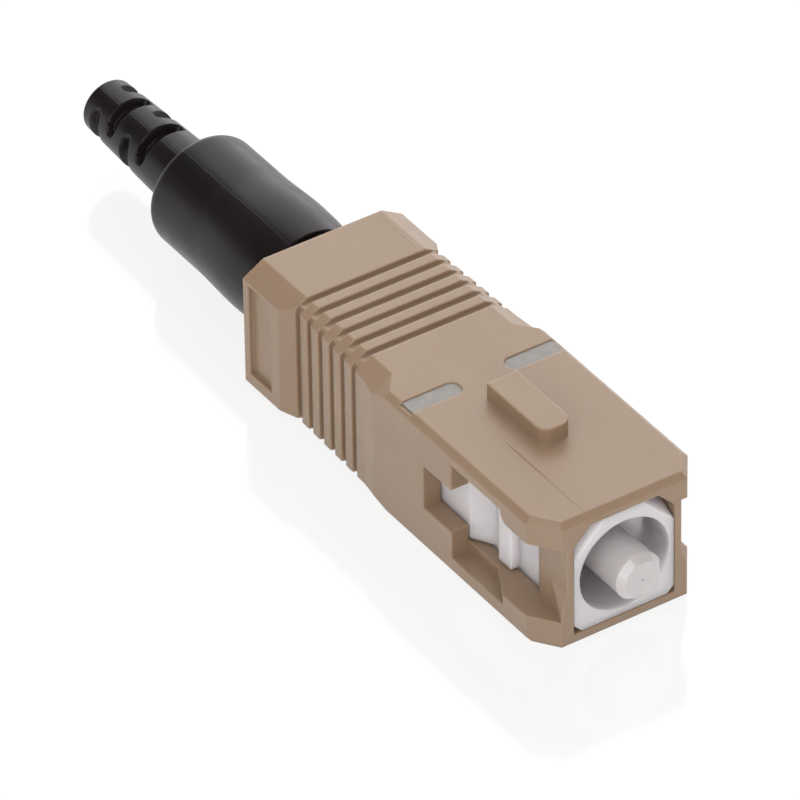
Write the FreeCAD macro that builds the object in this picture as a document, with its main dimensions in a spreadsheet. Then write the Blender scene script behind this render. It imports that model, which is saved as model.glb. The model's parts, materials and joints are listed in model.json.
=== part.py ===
import FreeCAD, Part
import math
import os
import Sketcher

# Field-fitted SC fibre connector, in millimetres.
# +X is the mating direction, +Z the side with the key, and the origin lies on the ferrule's axis
# in the plane of the plug frame's front face. Places behind that face are given as depths.

doc = FreeCAD.newDocument("fibre_connector")
sheet = doc.addObject("Spreadsheet::Sheet", "sizes")
Vector = FreeCAD.Vector
X_DIRECTION = Vector(1, 0, 0)
NEAR = 1e-4
WIRE_SIDES = 6  # of the swept section that stands for the round spring wire
BELLY_STEPS = 2  # straight stretches on either side of the boot's widest place
ROUND_STEPS = 5  # straight stretches in the rounding of its rear shoulder
BEYOND = 1.0  # how far a cut runs past the material that it takes away


# Sizes

class Size:
    """A number that also keeps the words by which the sheet works it out."""

    def __init__(self, value, words):
        self.value = value
        self.words = words

    def __add__(self, other):
        other = as_size(other)
        return Size(self.value + other.value, "(" + self.words + " + " + other.words + ")")

    def __sub__(self, other):
        other = as_size(other)
        return Size(self.value - other.value, "(" + self.words + " - " + other.words + ")")

    def __mul__(self, other):
        other = as_size(other)
        return Size(self.value * other.value, "(" + self.words + " * " + other.words + ")")

    def __truediv__(self, other):
        other = as_size(other)
        return Size(self.value / other.value, "(" + self.words + " / " + other.words + ")")

    def __neg__(self):
        return Size(-self.value, "(0 - " + self.words + ")")

    def __rsub__(self, other):
        return as_size(other) - self


def as_size(value):
    return value if isinstance(value, Size) else Size(float(value), "%.6g" % value)


def size(alias, value, note):
    """One driving dimension: a row of the sheet with its alias, its number and what it is."""
    size.row += 1
    sheet.set("A%d" % size.row, alias)
    sheet.set("B%d" % size.row, "%.6g" % value)
    sheet.set("C%d" % size.row, note)
    sheet.setAlias("B%d" % size.row, alias)
    return Size(float(value), "sizes." + alias)


size.row = 0

# Plug frame, measured outwards from the bore that takes the adapter's sleeve
sleeve_bore = size("sleeve_bore", 2.5, "radius of the front bore")
sleeve_depth = size("sleeve_depth", 6.4, "depth of the front bore")
nose_wall = size("nose_wall", 0.25, "side wall beside the front bore")
frame_roof = size("frame_roof", 0.54, "wall above the front bore")
frame_floor = size("frame_floor", 0.33, "wall below the front bore")
frame_length = size("frame_length", 20.0, "front face to rear face")
corner_top = size("corner_top", 0.95, "chamfer of the upper long corners")
corner_lead = size("corner_lead", 1.65, "the same chamfer at the front face")
lead_length = size("lead_length", 1.2, "run of that lead-in")
corner_bottom = size("corner_bottom", 0.38, "chamfer of the lower long corners")
lug_front = size("lug_front", 4.45, "depth of the latch lug's front")
lug_length = size("lug_length", 1.0, "latch lug")
lug_height = size("lug_height", 0.5, "latch lug above the nose's side")
waist_front = size("waist_front", 6.3, "depth at which the frame begins to widen behind the lug")
waist_slope = size("waist_slope", 1.2, "run from there to the rear guide's width")
waist_room = size("waist_room", 0.12, "between that waist and the grip's lower rail")
guide_step = size("guide_step", 0.7, "what the rear guide stands out beyond the nose")
guide_length = size("guide_length", 8.0, "rear guide")
stop_wall = size("stop_wall", 1.0, "wall against which the ferrule holder rests")
stop_hole = size("stop_hole", 1.6, "radius of the ferrule's hole in it")
spring_bore = size("spring_bore", 2.4, "radius of the rear bore")
snap_inset = size("snap_inset", 3.0, "front of the snap windows to the rear face")
snap_length = size("snap_length", 1.5, "snap windows")
snap_width = size("snap_width", 2.4, "snap windows")

# Outer grip housing, with its walls measured outwards from the frame
grip_clearance = size("grip_clearance", 0.07, "all round between grip and plug frame")
grip_travel = size("grip_travel", 1.1, "how far the grip slides back to release")
grip_length = size("grip_length", 24.87, "front face to rear face")
roof_wall = size("roof_wall", 0.56, "wall on the key side")
floor_wall = size("floor_wall", 0.43, "wall on the underside")
side_wall = size("side_wall", 0.98, "wall beside the rear guide")
nose_taper_length = size("nose_taper_length", 1.4, "run of the plan chamfer at the front corners")
nose_taper_width = size("nose_taper_width", 1.0, "what that chamfer takes off each side")
top_bevel = size("top_bevel", 0.3, "bevel round the front body's top")
bottom_bevel = size("bottom_bevel", 0.15, "bevel along the front body's lower edges")
long_run = size("long_run", 1.15, "width of the grip's long chamfers")
top_drop = size("top_drop", 0.68, "height of the upper long chamfers")
bottom_drop = size("bottom_drop", 0.37, "height of the lower long chamfers")
chamfer_end = size("chamfer_end", 14.0, "depth at which the long chamfers stop")
shoulder_run = size("shoulder_run", 1.05, "from there to where the body is square again")
rear_band_length = size("rear_band_length", 2.95, "full-width band at the rear")
rear_taper = size("rear_taper", 0.84, "run from that band down to the ribs")
rib_inset = size("rib_inset", 0.48, "how far the ribbed sides stand back at their rear")
rib_rise = size("rib_rise", 0.29, "what the ribbed sides gain towards the front")
rib_ramp = size("rib_ramp", 1.0, "run from the ribbed zone to full width")
rib_count = size("rib_count", 6, "grooves on each face")
rib_pitch = size("rib_pitch", 1.0, "groove to groove")
first_groove = size("first_groove", 1.9, "end of the long chamfers to the foremost groove")
groove_width = size("groove_width", 0.42, "along the connector")
groove_depth = size("groove_depth", 0.25, "grooves in the top and sides")
groove_depth_bottom = size("groove_depth_bottom", 0.15, "grooves in the underside")
scoop_rim = size("scoop_rim", 0.42, "rear rim left beside the side scoop")
scoop_length = size("scoop_length", 1.85, "side scoop, along the connector")
scoop_depth = size("scoop_depth", 0.25, "side scoop, into the wall")
scoop_top = size("scoop_top", 2.85, "axis to the scoop's upper end")
scoop_bottom = size("scoop_bottom", 2.35, "axis to the scoop's lower end")
post_length = size("post_length", 2.3, "corner posts behind the front face")
post_wall = size("post_wall", 0.35, "thickness of the corner posts")
post_flare = size("post_flare", 0.33, "how far a post swells out at its foot")
flare_run = size("flare_run", 1.3, "front face to where that swelling ends")
flare_top = size("flare_top", 0.36, "axis to the start of that swelling")
flare_bottom = size("flare_bottom", 1.68, "axis to its end")
window_rear = size("window_rear", 9.8, "depth of the side window's rear edge")
window_step = size("window_step", 7.5, "depth at which the window grows taller")
window_rear_low = size("window_rear_low", 0.99, "axis to the rear part's lower edge")
window_rear_high = size("window_rear_high", 1.45, "axis to its upper edge")
window_high = size("window_high", 2.93, "axis to the tall part's upper edge")
window_low = size("window_low", 2.48, "axis to the tall part's lower edge")
rail_length = size("rail_length", 1.2, "upper rail behind the posts")
rail_low = size("rail_low", 2.28, "axis to the upper rail's lower edge")
rail_round = size("rail_round", 0.6, "rounding of the upper rail's rear corner")
ledge_low = size("ledge_low", 1.92, "axis to the lower rail's top")
ramp_end = size("ramp_end", 3.3, "depth at which the release ramp reaches the outside")
ramp_run = size("ramp_run", 1.9, "how far behind that it starts, inside")
shelf_reach = size("shelf_reach", 1.0, "inner shelf of the lower rail, past the tall window")
key_width = size("key_width", 1.7, "key")
key_length = size("key_length", 4.55, "key")
key_height = size("key_height", 0.9, "key")
key_rear = size("key_rear", 9.87, "depth of the key's rear end")
key_round = size("key_round", 0.6, "rounding of the key's front corners")
mark_rear = size("mark_rear", 11.93, "depth of the seating marks' rear edge")
mark_length = size("mark_length", 1.0, "seating mark, along the connector")
mark_inner = size("mark_inner", 1.3, "axis to the mark's inner end")
mark_depth = size("mark_depth", 0.16, "recess for the mark")
mark_fill = size("mark_fill", 0.1, "thickness of the mark")
mark_round = size("mark_round", 0.45, "rounding of the mark's inner corners")

# Ferrule, fibre and holder
ferrule_radius = size("ferrule_radius", 1.25, "ceramic ferrule")
ferrule_reach = size("ferrule_reach", 1.47, "tip ahead of the frame's front face")
ferrule_length = size("ferrule_length", 10.5, "ferrule")
ferrule_travel = size("ferrule_travel", 0.8, "how far the ferrule is pushed back when mated")
tip_run = size("tip_run", 0.38, "chamfer of the tip, along the axis")
tip_fall = size("tip_fall", 0.28, "chamfer of the tip, across the axis")
press_taper = size("press_taper", 0.03, "what the pressed end narrows by towards its rear")
ferrule_hole = size("ferrule_hole", 0.07, "radius of the fibre hole")
funnel_radius = size("funnel_radius", 0.45, "mouth of the funnel at the ferrule's rear")
funnel_length = size("funnel_length", 0.8, "funnel")
fibre_radius = size("fibre_radius", 0.0625, "glass fibre")
fibre_length = size("fibre_length", 15.8, "stub, from the tip into the splice")
press_gap = size("press_gap", 0.01, "line fit between pressed or glued pieces")
slip_gap = size("slip_gap", 0.05, "end and side gap between loose pieces")
stop_gap = size("stop_gap", 0.03, "between grip and boot when the grip is drawn back")
cup_length = size("cup_length", 0.95, "cup ahead of the flange")
flange_length = size("flange_length", 1.5, "flange of the ferrule holder")
flange_room = size("flange_room", 0.2, "between flange and rear bore")
barrel_radius = size("barrel_radius", 1.5, "splice barrel of the holder")
pocket_radius = size("pocket_radius", 1.1, "splice pocket in the barrel")
base_face = size("base_face", 0.03, "axis to the splice base's upper face")
groove_apex = size("groove_apex", 0.092, "axis to the bottom of the fibre groove")
lid_face = size("lid_face", 0.07, "axis to the lid's lower face")
keel_inset = size("keel_inset", 0.4, "front of the cam to the lid's keel, and keel to splice end")
keel_length = size("keel_length", 4.0, "keel of the lid")
keel_width = size("keel_width", 0.5, "keel of the lid")
keel_rise = size("keel_rise", 0.05, "keel above the barrel")

# Spring, rear body and cam
spring_space = size("spring_space", 5.65, "between the flange and the rear body's lip")
spring_wire = size("spring_wire", 0.2, "radius of the wire")
spring_room = size("spring_room", 0.22, "between coil and rear bore")
spring_turns = size("spring_turns", 4, "turns")
lip_length = size("lip_length", 0.8, "lip that carries the spring")
lip_room = size("lip_room", 0.2, "between that lip and the barrel")
tube_wall = size("tube_wall", 0.3, "wall of the rear body inside the frame")
seat_step = size("seat_step", 0.22, "flange of the rear body beyond the rear bore")
seat_length = size("seat_length", 0.85, "that flange")
tail_wall = size("tail_wall", 0.22, "wall of the rear body under the boot")
barb_height = size("barb_height", 0.08, "rings that hold the boot")
barb_pitch = size("barb_pitch", 1.3, "ring to ring")
barb_length = size("barb_length", 0.6, "slope of one ring")
barb_count = size("barb_count", 2, "rings")
snap_height = size("snap_height", 0.35, "snap lugs above the tube")
cam_gap = size("cam_gap", 0.1, "between cam and rear body, and cam and collar")
cam_length = size("cam_length", 10.6, "cam sleeve")
cam_slack = size("cam_slack", 0.04, "over the keel while the cam holds it down")
relief_depth = size("relief_depth", 0.16, "relief that lets the lid rise")
relief_width = size("relief_width", 1.2, "relief inside the cam sleeve")
flat_length = size("flat_length", 1.6, "wrench flats at the cam's rear")
flat_gap = size("flat_gap", 3.4, "across the wrench flats")
wrench_reach = size("wrench_reach", 1.2, "what the cam stands out of the rear body")
collar_drop = size("collar_drop", 0.15, "collar behind the cam, below the cam's surface")
collar_length = size("collar_length", 0.5, "that collar")

# Lead-in, crimp tube and boot
lead_radius = size("lead_radius", 0.75, "lead-in tube behind the holder")
lead_bore = size("lead_bore", 0.5, "its bore")
lead_tip = size("lead_tip", 0.1, "its bore at the splice")
lead_funnel = size("lead_funnel", 1.6, "run of that funnel")
lead_reach = size("lead_reach", 2.4, "lead-in tube behind the holder")
crimp_wall = size("crimp_wall", 0.29, "crimp tube")
crimp_reach = size("crimp_reach", 4.7, "crimp tube behind the holder")
neck_wall = size("neck_wall", 0.3, "boot inside the grip")
neck_clearance = size("neck_clearance", 0.1, "between the boot's neck and the grip's bore")
boot_radius = size("boot_radius", 3.06, "boot")
boot_belly = size("boot_belly", 0.12, "what the boot is thicker by at its widest place")
boot_fall = size("boot_fall", 0.18, "what it is thinner by at its front shoulder than there")
boot_swell = size("boot_swell", 2.9, "run from the shoulder to the widest place")
belly_run = size("belly_run", 3.1, "run from there to the even part of the boot")
boot_length = size("boot_length", 9.6, "thick part of the boot, shoulder to shoulder")
boot_round = size("boot_round", 0.5, "rounding of the rear shoulder")
crimp_room = size("crimp_room", 0.8, "round the crimp tube inside the boot")
shoulder_wall = size("shoulder_wall", 2.1, "rear shoulder to the crimp tube's space")
relief_length = size("relief_length", 8.2, "strain relief behind the shoulder")
relief_flare = size("relief_flare", 0.34, "what the relief gains towards the shoulder")
relief_wall = size("relief_wall", 0.4, "wall at the relief's end")
cable_bore = size("cable_bore", 1.05, "radius of the cable's bore")
slot_first = size("slot_first", 1.05, "end of the relief to the first slot's middle")
slot_pitch = size("slot_pitch", 1.4, "slot row to slot row")
slot_width = size("slot_width", 0.75, "slot")
slot_point = size("slot_point", 0.2, "length over which a slot narrows at each end")
slot_bridge = size("slot_bridge", 0.15, "rubber left between two slots of a row")
boot_turn = size("boot_turn", 22.0, "degrees that the boot sits turned round the axis")

doc.recompute()

# Sizes that follow from those above, outwards from the axis
nose_half = sleeve_bore + nose_wall
lug_half = nose_half + lug_height
guide_half = nose_half + guide_step
frame_top = sleeve_bore + frame_roof
frame_bottom = sleeve_bore + frame_floor
opening_half = nose_half + grip_clearance
opening_top = frame_top + grip_clearance
opening_bottom = frame_bottom + grip_clearance
cavity_half = guide_half + grip_clearance
post_outer = opening_half + post_wall
grip_half = cavity_half + side_wall
rib_half = grip_half - rib_inset
rib_crest = rib_half + rib_rise
flat_half = grip_half - long_run
grip_top = opening_top + roof_wall
grip_bottom = opening_bottom + floor_wall
cup_bore = ferrule_radius + press_gap
cup_wall = stop_hole - slip_gap
flange_radius = spring_bore - flange_room
spring_radius = spring_bore - spring_room - spring_wire
lip_hole = barrel_radius + lip_room
tube_radius = spring_bore - slip_gap
tube_bore = tube_radius - tube_wall
seat_radius = spring_bore + seat_step
tail_radius = tube_bore + tail_wall
keel_height = barrel_radius + keel_rise
cam_bore = keel_height + cam_slack
cam_relief = cam_bore + relief_depth
cam_radius = tube_bore - cam_gap
collar_radius = cam_radius - collar_drop
splice_radius = pocket_radius - press_gap * 2
crimp_bore = lead_radius + press_gap
crimp_radius = crimp_bore + crimp_wall
neck_bore = tail_radius + barb_height + press_gap
neck_radius = neck_bore + neck_wall
grip_bore = neck_radius + neck_clearance
boot_chamber = crimp_radius + crimp_room
relief_tip = cable_bore + relief_wall
relief_root = relief_tip + relief_flare
belly_radius = boot_radius + boot_belly
waist_low = ledge_low - waist_room

# Depths that follow, from the front face backwards
ferrule_rear = ferrule_length - ferrule_reach
stop_rear = sleeve_depth + stop_wall
holder_front = stop_rear - cup_length
flange_front = stop_rear + slip_gap
flange_rear = flange_front + flange_length
lip_front = flange_rear + spring_space
lip_rear = lip_front + lip_length
cam_front = lip_rear + cam_gap * 2
cam_end = cam_front + cam_length
keel_front = cam_front + keel_inset
keel_rear = keel_front + keel_length
splice_front = ferrule_rear + slip_gap * 2
splice_rear = keel_rear + keel_inset
collar_front = cam_end + cam_gap
barrel_end = collar_front + collar_length
lead_end = barrel_end + lead_reach
crimp_end = barrel_end + crimp_reach
tube_end = cam_end - wrench_reach
guide_front = frame_length - guide_length
snap_front = frame_length - snap_inset
snap_rear = snap_front + snap_length
cavity_end = frame_length + slip_gap
seat_front = frame_length + slip_gap / 2
seat_rear = seat_front + seat_length
neck_front = seat_rear + slip_gap
boot_front = grip_length + grip_travel + stop_gap
boot_rear = boot_front + boot_length
boot_end = boot_rear + relief_length
chamber_front = barrel_end + ferrule_travel + slip_gap
chamber_end = boot_rear - shoulder_wall
shoulder_end = chamfer_end - shoulder_run
rib_front = chamfer_end + rib_ramp
rib_rear = grip_length - rear_band_length - rear_taper
rib_start = chamfer_end + first_groove
waist_end = waist_front + waist_slope
rail_rear = post_length + rail_length
ramp_start = ramp_end + ramp_run


# Ways of making a shape

def bind(item, name, value):
    """Ties a property to the sheet."""
    item.setExpression(name, as_size(value).words)


def new_body(label):
    body = doc.addObject("PartDesign::Body", label)
    body.Label = label
    return body


def origin_part(body, role):
    return [part for part in body.Origin.OriginFeatures if part.Role == role][0]


def new_sketch(body, name, plane, offset=0):
    """A sketch on one of the body's own planes, set off along that plane's normal."""
    sketch = body.newObject("Sketcher::SketchObject", name)
    sketch.AttachmentSupport = [(origin_part(body, plane), "")]
    sketch.MapMode = "FlatFace"
    bind(sketch, "AttachmentOffset.Base.z", offset)
    return sketch


def add_polygon(sketch, corners):
    """A closed outline of straight lines with both coordinates of every corner tied to the sheet."""
    corners = [(as_size(across), as_size(up)) for across, up in corners]
    first = sketch.GeometryCount
    count = len(corners)
    for index in range(count):
        start = corners[index]
        end = corners[(index + 1) % count]
        line = Part.LineSegment(Vector(start[0].value, start[1].value, 0),
                                Vector(end[0].value, end[1].value, 0))
        sketch.addGeometry(line, False)
    for index in range(count):
        following = first + (index + 1) % count
        sketch.addConstraint(Sketcher.Constraint("Coincident", first + index, 2, following, 1))
    for index, corner in enumerate(corners):
        for kind, value in zip(("DistanceX", "DistanceY"), corner):
            number = sketch.addConstraint(Sketcher.Constraint(kind, first + index, 1, value.value))
            bind(sketch, "Constraints[%d]" % number, value)


def add_box(sketch, low_across, high_across, low_up, high_up):
    add_polygon(sketch, [(low_across, low_up), (high_across, low_up),
                         (high_across, high_up), (low_across, high_up)])


def add_circle(sketch, radius):
    """A circle about the sketch's origin."""
    radius = as_size(radius)
    number = sketch.addGeometry(Part.Circle(Vector(0, 0, 0), Vector(0, 0, 1), radius.value), False)
    sketch.addConstraint(Sketcher.Constraint("Coincident", number, 3, -1, 1))
    tie = sketch.addConstraint(Sketcher.Constraint("Radius", number, radius.value))
    bind(sketch, "Constraints[%d]" % tie, radius)


def extrude(body, kind, name, sketch, length, backwards=False, both_ways=False):
    """A pad or a pocket of one length."""
    feature = body.newObject("PartDesign::" + kind, name)
    feature.Profile = sketch
    feature.Reversed = backwards
    if both_ways:
        feature.SideType = "Symmetric"
    bind(feature, "Length", length)
    return feature


def turn(body, kind, name, corners):
    """A revolution or groove about X of an outline given as (x, radius)."""
    sketch = new_sketch(body, name + "_outline", "XY_Plane")
    add_polygon(sketch, corners)
    feature = body.newObject("PartDesign::" + kind, name)
    feature.Profile = sketch
    feature.ReferenceAxis = (origin_part(body, "X_Axis"), [""])
    feature.Angle = 360
    return feature


def mirror(body, name, features, plane):
    feature = body.newObject("PartDesign::Mirrored", name)
    feature.Originals = features
    feature.MirrorPlane = (origin_part(body, plane), [""])
    body.Tip = feature
    return feature


def dress(body, kind, name, amount, wanted):
    """A fillet or chamfer on the edges of the body that pass the test."""
    doc.recompute()
    base = body.Tip
    names = ["Edge%d" % (index + 1) for index, edge in enumerate(base.Shape.Edges) if wanted(edge)]
    if not names:
        raise RuntimeError(body.Label + " has no edge for " + name)
    feature = body.newObject("PartDesign::" + kind, name)
    feature.Base = (base, names)
    bind(feature, "Radius" if kind == "Fillet" else "Size", amount)
    return feature


def ends(edge):
    return [vertex.Point for vertex in edge.Vertexes]


def all_at(edge, axis, value):
    """Whether both ends of an edge lie at one coordinate."""
    return all(abs(point[axis] - as_size(value).value) < NEAR for point in ends(edge))


# Outer grip housing: the shroud that the fingers push and pull

def grip_outline():
    """Half of the plan outline, from the front corner to the rear one."""
    return [(0, grip_half - nose_taper_width),
            (-nose_taper_length, grip_half),
            (-chamfer_end, grip_half),
            (-rib_front, rib_crest),
            (-rib_rear, rib_half),
            (-(grip_length - rear_band_length), grip_half),
            (-grip_length, grip_half)]


def corner_section(body, name, depth, inner, outer, level, edge_level, beyond):
    """What a long chamfer takes off one corner, in one cross-section."""
    sketch = new_sketch(body, name, "YZ_Plane", -as_size(depth))
    add_polygon(sketch, [(inner, level), (outer, edge_level), (outer + BEYOND, edge_level),
                         (outer + BEYOND, level + beyond), (inner, level + beyond)])
    return sketch


def long_chamfer(body, name, level, side, drop, bevel):
    """The long chamfer of the grip, which shrinks to the front body's bevel at the shoulder."""
    stations = ((grip_length + BEYOND, flat_half, drop), (chamfer_end, flat_half, drop),
                (shoulder_end, grip_half - bevel, bevel))
    sections = []
    for index, (depth, start, fall) in enumerate(stations):
        edge_level = level - fall * side
        sections.append(corner_section(body, "%s_%d" % (name, index), depth, start, grip_half,
                                       level, edge_level, side * BEYOND))
    cut = body.newObject("PartDesign::SubtractiveLoft", name)
    cut.Profile = sections[0]
    cut.Sections = sections[1:]
    cut.Ruled = True
    return cut


def cut_grooves(body):
    """Grooves across the top, the underside and both sides, open towards the long chamfers."""
    low = -(rib_start + groove_width / 2)
    high = -(rib_start - groove_width / 2)
    cuts = []
    for name, level, depth in (("top_groove", grip_top, groove_depth),
                               ("under_groove", -grip_bottom, groove_depth_bottom)):
        sketch = new_sketch(body, name + "_outline", "XY_Plane", level)
        add_box(sketch, low, high, -(grip_half + BEYOND), grip_half + BEYOND)
        cuts.append(extrude(body, "Pocket", name, sketch, depth, backwards=level.value < 0))
    pattern = body.newObject("PartDesign::LinearPattern", "groove_row")
    pattern.Originals = cuts
    pattern.Direction = (origin_part(body, "X_Axis"), [""])
    pattern.Reversed = True
    bind(pattern, "Length", rib_pitch * (rib_count - 1))
    bind(pattern, "Occurrences", rib_count)
    body.Tip = pattern

    # the side grooves keep their depth below a side that slopes in plan
    plan = new_sketch(body, "side_groove_plan", "XY_Plane", 0)
    slope = rib_rise / (rib_rear - rib_front)
    for index in range(round(rib_count.value)):
        middle = rib_start + rib_pitch * index
        floor = [rib_half + slope * (rib_rear - middle - groove_width / 2 * way) - groove_depth
                 for way in (1, -1)]
        add_polygon(plan, [(-(middle + groove_width / 2), -floor[0]),
                           (-(middle + groove_width / 2), -(grip_half + BEYOND)),
                           (-(middle - groove_width / 2), -(grip_half + BEYOND)),
                           (-(middle - groove_width / 2), -floor[1])])
    side = extrude(body, "Pocket", "side_grooves", plan, (grip_top + grip_bottom) * 2, both_ways=True)
    mirror(body, "side_groove_pair", [side], "XZ_Plane")


def cut_side(body, name, sketch, depth, backwards):
    """A pocket in the -Y wall and its mirror image in the other one."""
    doc.recompute()
    volume = body.Tip.Shape.Volume
    pocket = extrude(body, "Pocket", name, sketch, depth, backwards=backwards)
    doc.recompute()
    if pocket.Shape.Volume > volume - NEAR:
        raise RuntimeError(name + " cuts nothing")
    mirror(body, name + "_pair", [pocket], "XZ_Plane")


def make_grip_housing():
    body = new_body("grip_housing")
    half = grip_outline()
    outline = new_sketch(body, "plan", "XY_Plane", -grip_bottom)
    add_polygon(outline, half + [(x, -y) for x, y in reversed(half)])
    extrude(body, "Pad", "block", outline, grip_top + grip_bottom)

    # bevel round the top of the front body, then the grip's long chamfers
    dress(body, "Chamfer", "top_edge", top_bevel,
          lambda edge: all_at(edge, 2, grip_top)
          and min(point.x for point in ends(edge)) > -chamfer_end.value - NEAR)
    dress(body, "Chamfer", "lower_edge", bottom_bevel,
          lambda edge: all_at(edge, 2, -grip_bottom)
          and abs(abs(ends(edge)[0].y) - grip_half.value) < NEAR
          and all_at(edge, 1, ends(edge)[0].y)
          and min(point.x for point in ends(edge)) > -chamfer_end.value - NEAR)
    upper = long_chamfer(body, "upper_chamfer", grip_top, 1, top_drop, top_bevel)
    mirror(body, "upper_chamfer_pair", [upper], "XZ_Plane")
    lower = long_chamfer(body, "lower_chamfer", -grip_bottom, -1, bottom_drop, bottom_bevel)
    mirror(body, "lower_chamfer_pair", [lower], "XZ_Plane")
    cut_grooves(body)

    # nose opening with the shape of the plug frame, the wide guide behind it and the rear bore
    nose = new_sketch(body, "nose_opening", "YZ_Plane", 0)
    add_polygon(nose, [(-opening_half, -opening_bottom), (opening_half, -opening_bottom),
                       (opening_half, opening_top - corner_top),
                       (opening_half - corner_top, opening_top),
                       (corner_top - opening_half, opening_top),
                       (-opening_half, opening_top - corner_top)])
    extrude(body, "Pocket", "nose_passage", nose, post_length + BEYOND)
    guide = new_sketch(body, "guide_opening", "YZ_Plane", -post_length)
    add_box(guide, -cavity_half, cavity_half, -opening_bottom, opening_top)
    extrude(body, "Pocket", "guide_passage", guide, cavity_end - post_length)
    rear = new_sketch(body, "rear_opening", "YZ_Plane", -grip_length)
    add_circle(rear, grip_bore)
    extrude(body, "Pocket", "rear_bore", rear, grip_length - cavity_end + BEYOND, backwards=True)

    # side window: a low rear part, a tall middle part and the gap between the rails
    window = new_sketch(body, "window", "XZ_Plane", grip_half)
    add_polygon(window, [(-window_rear, -window_rear_low), (-window_step, -window_rear_low),
                         (-window_step, -ledge_low), (-post_length, -ledge_low),
                         (-post_length, rail_low), (-rail_rear, rail_low),
                         (-rail_rear, window_high), (-window_step, window_high),
                         (-window_step, window_rear_high), (-window_rear, window_rear_high)])
    cut_side(body, "window_cut", window, grip_half - cavity_half + NEAR, backwards=False)

    # shelf of the lower rail beside the frame, on which the release ramp starts
    plan = new_sketch(body, "shelf_plan", "XY_Plane", -opening_bottom)
    add_box(plan, -(window_step + shelf_reach), -post_length, -cavity_half, -opening_half)
    shelf = extrude(body, "Pad", "shelf", plan, opening_bottom - ledge_low)
    mirror(body, "shelf_pair", [shelf], "XZ_Plane")

    # step below the window, which the release ramp closes towards the front
    step = new_sketch(body, "ramp_plan", "XY_Plane", -ledge_low)
    add_polygon(step, [(-window_step, -cavity_half), (-ramp_start, -cavity_half),
                       (-ramp_end, -grip_half), (-ramp_end, -(grip_half + BEYOND)),
                       (-window_step, -(grip_half + BEYOND))])
    cut_side(body, "ramp_cut", step, window_low - ledge_low, backwards=False)

    # channel over each corner post, open to the front, with a swelling at the foot
    channel = new_sketch(body, "channel", "YZ_Plane", 0)
    add_polygon(channel, [(-post_outer, rail_low), (-post_outer, -flare_top),
                          (-(post_outer + post_flare), -flare_bottom),
                          (-(post_outer + post_flare), -ledge_low),
                          (-(grip_half + BEYOND), -ledge_low), (-(grip_half + BEYOND), rail_low)])
    cut_side(body, "channel_cut", channel, post_length, backwards=False)
    foot = new_sketch(body, "foot_plan", "XY_Plane", -ledge_low)
    add_polygon(foot, [(-post_length, -post_outer), (-flare_run, -post_outer),
                       (0, -(post_outer + post_flare)), (BEYOND, -(post_outer + post_flare)),
                       (BEYOND, -(grip_half + BEYOND)), (-post_length, -(grip_half + BEYOND))])
    cut_side(body, "foot_cut", foot, ledge_low - flare_top, backwards=True)
    dress(body, "Fillet", "rail_corner", rail_round,
          lambda edge: all_at(edge, 0, -rail_rear) and all_at(edge, 2, rail_low))

    # scoop in the side of the rear band
    scoop = new_sketch(body, "scoop", "XZ_Plane", grip_half)
    add_box(scoop, scoop_rim - grip_length, scoop_rim + scoop_length - grip_length,
            -scoop_bottom, scoop_top)
    cut_side(body, "scoop_cut", scoop, scoop_depth, backwards=False)

    # recesses for the two seating marks
    mark = new_sketch(body, "mark_recess", "XY_Plane", grip_top)
    add_box(mark, -mark_rear, mark_length - mark_rear, -(grip_half + BEYOND), -mark_inner)
    cut_side(body, "mark_cut", mark, mark_depth, backwards=False)
    dress(body, "Fillet", "mark_end", mark_round,
          lambda edge: len(edge.Vertexes) == 2
          and abs(abs(ends(edge)[0].y) - mark_inner.value) < NEAR
          and all_at(edge, 1, ends(edge)[0].y)
          and edge.Length > NEAR and abs(edge.Length - mark_depth.value) < NEAR
          and all(-mark_rear.value - NEAR < point.x < mark_length.value - mark_rear.value + NEAR
                  for point in ends(edge)))

    # key
    key = new_sketch(body, "key_plan", "XY_Plane", grip_top - mark_depth)
    add_box(key, -key_rear, key_length - key_rear, -key_width / 2, key_width / 2)
    extrude(body, "Pad", "key", key, key_height + mark_depth)
    dress(body, "Fillet", "key_front", key_round,
          lambda edge: all_at(edge, 0, key_length - key_rear) and len(edge.Vertexes) == 2
          and abs(abs(ends(edge)[0].y) - key_width.value / 2) < NEAR
          and abs(edge.Length - key_height.value) < NEAR)
    return body


def make_seating_mark(label, side):
    """The pale filling of one recess."""
    body = new_body(label)
    sketch = new_sketch(body, label + "_plan", "XY_Plane", grip_top - mark_depth)
    inner = mark_inner * side
    outer = (grip_half - top_bevel) * side
    corners = [(-mark_rear + press_gap, inner), (mark_length - mark_rear - press_gap, inner),
               (mark_length - mark_rear - press_gap, outer), (-mark_rear + press_gap, outer)]
    add_polygon(sketch, corners if side > 0 else corners[::-1])
    extrude(body, "Pad", label + "_pad", sketch, mark_fill)
    dress(body, "Fillet", label + "_end", mark_round,
          lambda edge: all_at(edge, 1, inner) and abs(edge.Length - mark_fill.value) < NEAR)
    return body


# Plug frame: the pale inner body that seats in the adapter

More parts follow.
